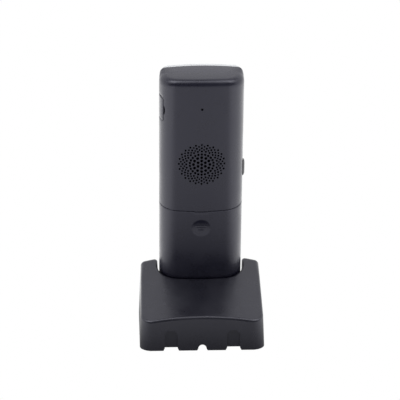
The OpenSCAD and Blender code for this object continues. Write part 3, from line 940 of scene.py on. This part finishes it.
def roof(x, y, z, at_y, at_z, slope):
    """Distance to a crowned roof plane through a point of the centre line, sloping down to the back."""
    turn = math.radians(slope)
    rise = (y - at_y) * math.sin(turn) + (z - at_z) * math.cos(turn)
    return np.hypot(x, rise + ROOF_R) - ROOF_R


def seat(x, y):
    """Distance to the handset's outline and its gap; the front is square to take the silver frame."""
    a = np.abs(x)
    crown = np.hypot(a, y + CROWN_R) - CROWN_R
    corner = np.hypot(a - CORNER[0], y - CORNER[1]) - CORNER_R
    on_crown = np.arctan2(a, y + CROWN_R) < CROWN_A
    on_corner = y > CORNER[1]
    back = np.where(on_crown, crown, np.where(on_corner, corner, a - HALF))
    return smax(back - SEAT_GAP, -y + FACE - SEAT_GAP, 4)


def arched(a, z, half, top):
    """Distance to an upright slot with a round top, from the distance to its middle line."""
    centre = top - half
    return np.where(z > centre, np.hypot(a, z - centre), a) - half


def cradle_field(p):
    """Distance to the cradle's housing, negative inside its walls."""
    x, y, z = p[..., 0], p[..., 1], p[..., 2]
    a = np.abs(x)
    taper = DRAFT * (z - FOOT_GAP)
    walls = box_field(x, y, BASE_W / 2 - taper, BASE_D / 2 - taper, BASE_CORNER)
    rear = roof(x, y, z, RIDGE_Y, RIDGE_Z, TOP_SLOPE)
    top = smax(rear, roof(x, y, z, LIP_Y, LIP_H, -FRONT_SLOPE), RIDGE_ROUND)
    # Edges are rounder towards the front
    soften = np.clip((-4 - y) / 16, 0, 1)
    body = smax(smax(top, walls, EDGE_ROUND + EDGE_ROUND * soften), FOOT_GAP - z, 0.4)
    local = p - ORIGIN
    depth, w = local @ BACK, local @ ALONG
    around = seat(x, depth)
    well = smax(around, -w, 1)
    slot = smax(a - SEAT_HALF, SILL_H - z, 5)
    slot = np.maximum(slot, y + 14)
    opening = np.minimum(well, slot)
    # The hollow under the top leaves a wall round the well, the slot and the screw bosses
    boss = np.hypot(a - BOSS_AT[0], np.abs(y) - BOSS_AT[1]) - BOSS_R
    keep = np.minimum(np.minimum(np.maximum(around - BASE_WALL, -2 - w), slot - BASE_WALL), boss)
    hollow = np.maximum(np.maximum(top, walls) + BASE_WALL, -keep)
    shell = np.maximum(smax(body, -opening, 1.0 + 1.6 * soften), -hollow)
    contact = box_field(a - CONTACT_X, depth - CONTACT_Y, 1.9, 2.4, 0.4)
    shell = np.maximum(shell, -np.maximum(contact, np.abs(w + 2) - 3))
    # Two arched recesses in the rear wall with flared feet, and the notch for the cable
    across = np.abs(a - ARCH_X)
    flare = ARCH_HALF + (FLARE_HALF - ARCH_HALF) * (FLARE_H - z) / FLARE_H
    foot_cut = np.maximum(across - flare, z - FLARE_H)
    round_top = NOTCH_H - NOTCH_W / 2
    cable = np.maximum(a - NOTCH_W / 2 - 0.55 * (round_top - z), z - round_top)
    cable = np.minimum(arched(a, z, NOTCH_W / 2, NOTCH_H), cable)
    cuts = ((arched(across, z, ARCH_HALF, ARCH_TOP), ARCH_DEPTH), (foot_cut, 5), (cable, 6))
    for cut, reach in cuts:
        shell = smax(shell, -np.maximum(cut, BASE_D / 2 - reach - y), 0.3)
    return shell


def gradient(field, points):
    """Unit gradient of a field."""
    step = 0.02
    parts = [field(points + step * axis) - field(points - step * axis) for axis in np.eye(3)]
    slope = np.stack(parts, -1)
    return slope / np.linalg.norm(slope, axis=-1, keepdims=True).clip(1e-9)


def contour(field, low, high, step):
    """Quads on the zero surface of a field: one point in each cell that the surface crosses, drawn onto its
    edges and corners by the surface's own slopes."""
    ticks = [np.arange(a, b + step, step) for a, b in zip(low, high)]
    value = np.concatenate([field(np.stack(np.meshgrid(x, *ticks[1:], indexing="ij"), -1)) for x in ticks[0]])
    corner = np.array([t[0] for t in ticks])
    strides = np.array([value[0].size, value[0, 0].size, 1])
    cells, points, quads = [], [], []
    for axis in range(3):
        first = np.moveaxis(value, axis, 0)[:-1]
        second = np.moveaxis(value, axis, 0)[1:]
        at = np.argwhere((first < 0) != (second < 0))
        a, b = first[tuple(at.T)], second[tuple(at.T)]
        at = np.insert(at[:, 1:], axis, at[:, 0], axis=1)
        place = corner + step * at
        share = a / (a - b)
        away = np.sign(b - a) * step
        for _ in range(3):
            here = place.copy()
            here[:, axis] += share * step
            share = np.clip(share - field(here) / away, 0, 1)
        place[:, axis] += share * step
        # The four cells that share this edge
        u, v = strides[(axis + 1) % 3], strides[(axis + 2) % 3]
        ring = (at @ strides)[:, None] - (u + v, v, 0, u)
        cells.append(ring.reshape(-1))
        points.append(np.repeat(place, 4, axis=0))
        quads.append(np.where((a < 0)[:, None], ring, ring[:, ::-1]))
    cells, points, quads = np.concatenate(cells), np.concatenate(points), np.concatenate(quads)
    slopes = gradient(field, points)
    names, cells = np.unique(cells, return_inverse=True)
    cells = cells.reshape(-1)
    count = np.bincount(cells).astype(float)

    def summed(values):
        return np.stack([np.bincount(cells, column) for column in values.T], 1)

    mean = summed(points) / count[:, None]
    offset = ((points - mean[cells]) * slopes).sum(axis=1)
    right = summed(offset[:, None] * slopes)
    left = np.stack([summed(slopes * slopes[:, [i]]) for i in range(3)], 1) + 0.08 * np.eye(3)
    shift = np.linalg.solve(left, right[..., None])[..., 0]
    length = np.linalg.norm(shift, axis=1, keepdims=True)
    shift *= np.minimum(1, step / length.clip(1e-9))
    return mean + shift, np.searchsorted(names, quads)


def cradle_shell(material):
    """The cradle's housing."""
    margin = 1.3
    step = 0.55
    points, quads = contour(cradle_field, HOUSING_LOW - margin, HOUSING_HIGH + margin, step)
    return make("cradle_shell", points, quads, material, 38)


# ---- small pieces

def side_key(material):
    """Side key with a rounded face."""
    middle = (SIDE_LOW + SIDE_HIGH) / 2
    half = (SIDE_HIGH - SIDE_LOW) / 2

    def crown(points):
        u, v = ((points - middle[[1, 2]]) / half[[1, 2]]).T
        return 1.1 * (np.clip(1 - u * u, 0, 1) * np.clip(1 - v ** 8, 0, 1) - 1)

    outline = divide(rounded(SIDE_LOW[[1, 2]], SIDE_HIGH[[1, 2]], 1.9), 1.5)
    front = SIDE_LOW[0]
    return plate("side_key_cap", outline, [], front + 3.4, front, 0.55, material, 0.8, crown, on_side)


def headset_flap(material):
    """Rubber cover over the headset socket, following the handset's corner."""
    flap = Shell()
    outline = divide(flap_outline(0), 1.5)
    skin(flap, outline, rim=lambda points: BEVEL, thick=1.3, spacing=1.3)
    return flap.build("headset_flap", material, 50)


def battery_cell(node, material):
    """A cell with a rolled shoulder and a contact nub."""
    low, high = hand_box(node)
    centre = (low[:2] + high[:2]) / 2
    radius = (high[0] - low[0]) / 2
    base = [(0, 0.15), (radius - 1.1, 0.15), (radius - 0.9, 0), (radius - 0.35, 0), (radius, 0.4)]
    shoulder = [(radius, -1.4), (radius - 0.3, -0.95), (radius - 1.2, -0.85)]
    nub = [(2.1, -0.9), (1.9, -0.7), (1.8, -0.1), (1.5, 0), (0, 0)]
    profile = [(r, low[2] + up) for r, up in base] + [(r, high[2] + up) for r, up in shoulder + nub]
    return turned(node + "_body", centre, profile, material, in_hand)


def charging_pad(side, material):
    """Metal pad in the handset's lower end."""
    low, high = hand_box("charging_pads")
    half = 2
    x = side * (high[0] - half)
    outline = rounded((x - half, low[1]), (x + half, high[1]), 0.6, 4)
    name = "charging_pad_left" if side > 0 else "charging_pad_right"
    return plate(name, outline, [], high[2], -0.06, 0.25, material, 1.5, place=in_hand)


FOOT_R = 5
FOOT_H = 3.1
FOOT_EDGE = 0.6


def foot(centre, name, material):
    """Rubber foot with a rounded rim."""
    roll = arc((FOOT_R - FOOT_EDGE, FOOT_EDGE), FOOT_EDGE, -90, 0, 5)
    return turned(name, centre, [(0, 0), *roll, (FOOT_R, FOOT_H), (0, FOOT_H)], material)


def window_glass(material):
    """Clear window over the display."""
    outline = divide(rounded(WINDOW_LOW[[0, 2]], WINDOW_HIGH[[0, 2]], 2.35), 3)
    return plate("window_glass", outline, [], -SHELL + 0.6, FACE - 0.1, 0.3, material)


# ---- materials

class Tree:
    """The node tree of a material or of the world."""

    def __init__(self, owner):
        owner.use_nodes = True
        self.tree = owner.node_tree

    def feed(self, node, inputs):
        """Each input, by name or number, takes a value or another node's output."""
        for name, value in inputs.items():
            if isinstance(value, bpy.types.NodeSocket):
                self.tree.links.new(value, node.inputs[name])
            else:
                node.inputs[name].default_value = value

    def add(self, kind, output, inputs, **settings):
        """An output of a new node."""
        node = self.tree.nodes.new("ShaderNode" + kind)
        for name, value in settings.items():
            setattr(node, name, value)
        self.feed(node, inputs)
        return node.outputs[output]

    def span(self, value, low=0.3, high=0.7, to_low=0, to_high=1):
        """A value eased from one range to another."""
        return self.add("MapRange", "Result", {"Value": value, "From Min": low, "From Max": high,
                                               "To Min": to_low, "To Max": to_high},
                        interpolation_type="SMOOTHSTEP")

    def math(self, operation, a, b=0):
        return self.add("Math", "Value", {0: a, 1: b}, operation=operation)

    def axes(self, vector):
        return [self.add("SeparateXYZ", axis, {"Vector": vector}) for axis in "XYZ"]


class Nodes(Tree):
    """A material, with positions in millimetres."""

    def __init__(self, name):
        self.material = bpy.data.materials.new(name)
        super().__init__(self.material)
        place = self.add("TexCoord", "Object", {})
        self.mm = self.add("Mapping", "Vector", {"Vector": place, "Scale": (1 / MM,) * 3})

    def noise(self, size, detail=2, roughness=0.5):
        """Noise whose features are about this many millimetres wide."""
        return self.add("TexNoise", "Fac", {"Vector": self.mm, "Scale": 1 / size, "Detail": detail,
                                            "Roughness": roughness})

    def mix(self, share, first, second):
        """Colour between two colours or colour outputs."""
        first, second = ((*c, 1) if isinstance(c, tuple) else c for c in (first, second))
        return self.add("Mix", 2, {"Factor": share, 6: first, 7: second}, data_type="RGBA")

    def bump(self, height, depth, **before):
        """Bump of a real depth in millimetres, over another one given as Normal."""
        return self.add("Bump", "Normal", {"Strength": 1, "Distance": depth * MM, "Height": height, **before})

    def shade(self, **inputs):
        """Sets the shader's sockets, spelt with underscores, and returns the material."""
        inputs = {name.replace("_", " "): value for name, value in inputs.items()}
        self.feed(self.tree.nodes["Principled BSDF"], inputs)
        return self.material


def moulded(name, dark, light, roughness, grain=0.22, depth=0.012, wear=0.35, **sockets):
    """Moulded plastic or rubber: a fine spark-eroded grain, cloudy gloss, and edges polished by handling."""
    polish = 0.08
    nodes = Nodes(name)
    cloud = nodes.noise(17, 3)
    fine = nodes.noise(grain)
    share = nodes.math("MULTIPLY", nodes.math("ADD", cloud, nodes.noise(0.6, 3, 0.6)), 0.5)
    base = nodes.mix(nodes.span(share, 0.35, 0.65), dark, light)
    edge = nodes.span(nodes.add("NewGeometry", "Pointiness", {}), 0.53, 0.62)
    bright = tuple(min(1, c * 1.9 + 0.01) for c in light)
    gloss = nodes.math("ADD", nodes.span(cloud, 0.35, 0.65, -polish / 2, polish / 2),
                       nodes.span(fine, 0.3, 0.7, roughness - polish / 3, roughness + polish / 3))
    long_wave = nodes.bump(nodes.noise(9), 0.012)
    return nodes.shade(Base_Color=nodes.mix(nodes.math("MULTIPLY", edge, wear), base, bright),
                       Roughness=nodes.math("SUBTRACT", gloss, nodes.math("MULTIPLY", edge, 0.08)),
                       Normal=nodes.bump(fine, depth, Normal=long_wave), **sockets)


def brushed(name, dark, light, roughness):
    """Metal with fine lines drawn along one direction."""
    nodes = Nodes(name)
    line = nodes.add("Mapping", "Vector", {"Vector": nodes.mm, "Scale": (1, 1, 0.06)})
    streak = nodes.add("TexNoise", "Fac", {"Vector": line, "Scale": 6, "Detail": 3})
    return nodes.shade(Base_Color=nodes.mix(nodes.span(nodes.noise(3, 3)), dark, light), Metallic=1,
                       Roughness=nodes.span(streak, 0.3, 0.7, roughness - 0.08, roughness + 0.1),
                       Normal=nodes.bump(streak, 0.006))


def circuit_board(name):
    """Green solder mask over a grid of tracks."""
    nodes = Nodes(name)
    tracks = nodes.add("TexBrick", "Fac", {"Vector": nodes.mm, "Scale": 0.35, "Mortar Size": 0.12})
    cloud = nodes.noise(4, 3)
    green = nodes.mix(nodes.span(cloud), (0.01, 0.09, 0.035), (0.015, 0.14, 0.05))
    return nodes.shade(Base_Color=nodes.mix(tracks, green, (0.03, 0.22, 0.08)),
                       Roughness=nodes.span(cloud, 0.3, 0.7, 0.25, 0.4), Normal=nodes.bump(tracks, 0.03))


def display_glass(name):
    """Dark clear window: a printed border round a grey liquid-crystal panel with a fine pixel grid."""
    border, pixel, soft = 3.4, 0.3, 0.1
    nodes = Nodes(name)
    x, _, z = nodes.axes(nodes.mm)
    middle = in_hand(0, FACE, (WINDOW_LOW[2] + WINDOW_HIGH[2]) / 2)
    half_x = WINDOW_HIGH[0] - border
    half_z = ((WINDOW_HIGH[2] - WINDOW_LOW[2]) / 2 - border - 2) * ALONG[2]
    up = nodes.math("ABSOLUTE", nodes.math("SUBTRACT", z, float(middle[2])))
    panel = nodes.math("MULTIPLY", nodes.span(nodes.math("ABSOLUTE", x), half_x - soft, half_x + soft, 1, 0),
                       nodes.span(up, half_z - soft, half_z + soft, 1, 0))
    grid = nodes.math("MAXIMUM", *(nodes.math("PINGPONG", axis, pixel / 2) for axis in (x, z)))
    crystal = nodes.mix(nodes.span(grid, 0.11, 0.15), (0.075, 0.085, 0.082), (0.05, 0.057, 0.055))
    tint = nodes.mix(nodes.span(nodes.noise(8)), (0.006, 0.006, 0.008), (0.009, 0.009, 0.011))
    return nodes.shade(Base_Color=nodes.mix(panel, tint, crystal), IOR=1.5,
                       Roughness=nodes.span(nodes.noise(5, 3), 0.3, 0.7, 0.05, 0.12),
                       Coat_Weight=1, Coat_Roughness=0.03)


def cell_jacket(name):
    """Shrink sleeve of a cell with a pale ring, bare metal at its ends."""
    nodes = Nodes(name)
    low, high = (corner[2] for corner in hand_box("battery_cell_left"))
    along = nodes.add("VectorMath", "Value", {0: nodes.mm, 1: tuple(ALONG)}, operation="DOT_PRODUCT")
    along = nodes.math("SUBTRACT", along, float(ORIGIN @ ALONG))
    sleeve = nodes.math("MULTIPLY", nodes.span(along, low + 0.1, low + 0.3),
                        nodes.span(along, high - 1.3, high - 1.1, 1, 0))
    ring = nodes.math("MULTIPLY", nodes.span(along, high - 12, high - 11.8), sleeve)
    jacket = nodes.mix(nodes.span(nodes.noise(2.5, 3)), (0.03, 0.16, 0.1), (0.035, 0.2, 0.12))
    jacket = nodes.mix(ring, jacket, (0.55, 0.56, 0.55))
    return nodes.shade(Base_Color=nodes.mix(sleeve, (0.6, 0.6, 0.58), jacket),
                       Metallic=nodes.span(sleeve, 0, 1, 0.95, 0),
                       Roughness=nodes.span(nodes.noise(1.2), 0.3, 0.7, 0.22, 0.38),
                       Normal=nodes.bump(nodes.noise(3), 0.05))


COOL = (0.88, 0.88, 1.0, 1)
BLACK = moulded("black_satin_plastic", (0.0075, 0.0075, 0.0145), (0.0095, 0.0093, 0.018), 0.3,
                Specular_Tint=COOL)
CRADLE_BLACK = moulded("cradle_satin_plastic", (0.0075, 0.0075, 0.012), (0.0095, 0.0095, 0.0145), 0.32, 0.28,
                       Specular_Tint=COOL, Specular_IOR_Level=0.57)
KEY_BLACK = moulded("key_plastic", (0.016, 0.016, 0.019), (0.022, 0.022, 0.026), 0.33, 0.3, 0.006)
SILVER = moulded("silver_paint", (0.46, 0.47, 0.49), (0.53, 0.54, 0.56), 0.3, 0.06, 0.002, 0.1, Metallic=0.55)
FELT = moulded("black_felt", (0.001,) * 3, (0.002,) * 3, 0.95, 0.4, 0.05, 0, Specular_IOR_Level=0.1)
RUBBER = moulded("soft_rubber", (0.011, 0.011, 0.013), (0.018, 0.018, 0.02), 0.6, 0.5, 0.02)
SILICONE = moulded("key_silicone", (0.2, 0.2, 0.21), (0.27, 0.27, 0.28), 0.55, 0.6, 0.01)
STEEL = brushed("nickel_steel", (0.5, 0.49, 0.47), (0.62, 0.61, 0.58), 0.3)
GOLD = brushed("contact_gold", (0.75, 0.52, 0.2), (0.85, 0.62, 0.28), 0.25)
BOARD = circuit_board("circuit_board")
GLASS = display_glass("display_glass")
JACKET = cell_jacket("cell_jacket")
INK = {"pale": moulded("mark_pale", (0.6,) * 3, (0.7,) * 3, 0.5, depth=0.003),
       "green": moulded("mark_green", (0.03, 0.35, 0.08), (0.04, 0.42, 0.1), 0.45, depth=0.003),
       "red": moulded("mark_red", (0.5, 0.03, 0.02), (0.58, 0.04, 0.03), 0.45, depth=0.003)}

SLOT_MATERIALS = {"handset_plastic": BLACK, "cradle_plastic": CRADLE_BLACK, "silver_plastic": SILVER,
                  "window_plastic": GLASS, "display_panel": KEY_BLACK, "key_plastic": KEY_BLACK,
                  "key_silicone": SILICONE, "cover_rubber": RUBBER, "foot_rubber": RUBBER,
                  "screw_steel": STEEL, "contact_metal": GOLD, "circuit_board": BOARD,
                  "socket_plastic": RUBBER, "speaker_frame": KEY_BLACK, "cell_jacket": JACKET}

# ---- assembly

# Builder, material, body, slot and the CAD node that the piece stands for
LARGE_PIECES = [(rear_shell, BLACK, "handset", "handset_plastic", "rear_case"),
                (front_shell, BLACK, "handset", "handset_plastic", "front_case"),
                (battery_cover, BLACK, "battery_cover", "handset_plastic", "battery_cover"),
                (front_plate, SILVER, "handset", "silver_plastic", "front_frame"),
                (side_key, KEY_BLACK, "side_key", "key_plastic", "side_key"),
                (headset_flap, BLACK, "headset_cover", "cover_rubber", "headset_cover"),
                (window_glass, GLASS, "handset", "window_plastic", "display_window"),
                (cradle_shell, CRADLE_BLACK, "cradle", "cradle_plastic", "cradle_housing")]


for node, thing in frame["nodes"].items():
    for holder in thing.material_slots:
        holder.material = SLOT_MATERIALS[holder.material.name.split(".")[0]]
        if node in ("loudspeaker", "rear_microphone"):
            holder.material = FELT

for builder, material, body, slot, node in LARGE_PIECES:
    settle(builder(material), body, slot, node)
for node in ("battery_cell_left", "battery_cell_right"):
    settle(battery_cell(node, JACKET), "handset", "cell_jacket", node)
# The first of several pieces stands for their common CAD node
for side, nodes in ((-1, []), (1, ["charging_pads"])):
    settle(charging_pad(side, GOLD), "handset", "contact_metal", *nodes)
foot_at = np.array(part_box("cradle_feet")[1][:2]) / MM - FOOT_R
for i, way in enumerate([(1, 1), (-1, 1), (-1, -1), (1, -1)]):
    settle(foot(foot_at * way, f"foot_{i + 1}", RUBBER), "cradle", "foot_rubber", *["cradle_feet"][i:])
for key in FACE_KEYS:
    face_key(key, KEY_BLACK, INK)

# ---- floor, light and camera

FLOOR_HALF = 6.0
# Strengths of the light overhead: a bank beyond the phone, a darker gap, and a strip on the camera's side
BANK = 1.45
OVERHEAD_GAP = 0.35
STRIP = 2.2
STRIP_ENDS = 5.5
# Strengths round the sides and on the table
FAR_SIDE = 1.38
DARK_SIDE = 0.12
TABLE_NEAR = 1.03
TABLE_SIDE = 1.75
BASE_SHADE = 0.34
SHADE_FROM = 38
SHADE_TO = 128


def sheet(name, material):
    """A large square at table height."""
    mesh = bpy.data.meshes.new(name)
    corners = [(x * FLOOR_HALF, y * FLOOR_HALF, 0) for x, y in ((-1, -1), (1, -1), (1, 1), (-1, 1))]
    mesh.from_pydata(corners, [], [(0, 1, 2, 3)])
    mesh.materials.append(material)
    table = bpy.data.objects.new(name, mesh)
    bpy.context.scene.collection.objects.link(table)
    return table


def floor():
    """Plain white floor that the camera sees, and the table light that the object is lit by: dim close to the
    base, where the object shades it, and brighter at the sides and on the far side."""
    white = {"Base_Color": (0, 0, 0, 1), "Roughness": 0.9, "Specular_IOR_Level": 0,
             "Emission_Color": (1, 1, 1, 1)}
    seen = sheet("floor", Nodes("floor_white").shade(Emission_Strength=1, **white))
    for ray in ("visible_diffuse", "visible_glossy", "visible_transmission", "visible_shadow"):
        setattr(seen, ray, False)
    light = Nodes("table_light")
    x, y, _ = light.axes(light.mm)
    reach = light.add("VectorMath", "Value", {0: light.mm}, operation="LENGTH")
    aside = light.math("SUBTRACT", light.math("ABSOLUTE", x), light.math("MULTIPLY", y, 0.5))
    level = light.math("MULTIPLY", light.span(reach, SHADE_FROM, SHADE_TO, BASE_SHADE, 1),
                       light.span(aside, 10, 110, TABLE_NEAR, TABLE_SIDE))
    sheet("table_light", light.shade(Emission_Strength=level, **white)).visible_camera = False


def studio():
    """Soft light from above and from the far side, and a dark room behind the camera."""
    world = bpy.data.worlds.new("studio")
    bpy.context.scene.world = world
    sky = Tree(world)
    x, y, z = sky.axes(sky.add("TexCoord", "Generated", {}))
    bank = sky.span(y, -0.42, -0.12, BANK, OVERHEAD_GAP)
    strip = sky.math("MULTIPLY", sky.span(y, 0, 0.14), sky.span(y, 0.36, 0.55, 1, 0))
    ends = sky.span(x, 0.1, 0.45, sky.span(x, -0.45, -0.1, STRIP_ENDS, STRIP), STRIP_ENDS)
    overhead = sky.math("ADD", bank, sky.math("MULTIPLY", strip, ends))
    wall = sky.span(y, 0.1, 0.6, FAR_SIDE, DARK_SIDE)
    light = sky.span(z, 0.5, 0.85, wall, overhead)
    sky.feed(world.node_tree.nodes["Background"], {"Strength": light, "Color": (1, 1, 1, 1)})


def camera():
    """A long lens behind the phone, a little above it."""
    turn, rise = math.radians(1.937), math.radians(19.0)
    distance = 1.58
    target = Vector((0.0003, -0.0002, 0.0884))
    away = Vector((math.sin(turn) * math.cos(rise), math.cos(turn) * math.cos(rise), math.sin(rise)))
    lens = bpy.data.cameras.new("camera")
    lens.sensor_width = 36
    lens.lens = 224.1
    lens.clip_start = 0.05
    view = bpy.data.objects.new("camera", lens)
    view.location = target + distance * away
    view.rotation_euler = away.to_track_quat("Z", "Y").to_euler()
    bpy.context.scene.collection.objects.link(view)
    bpy.context.scene.camera = view
    bpy.context.scene.view_settings.view_transform = "Standard"


floor()
studio()
camera()
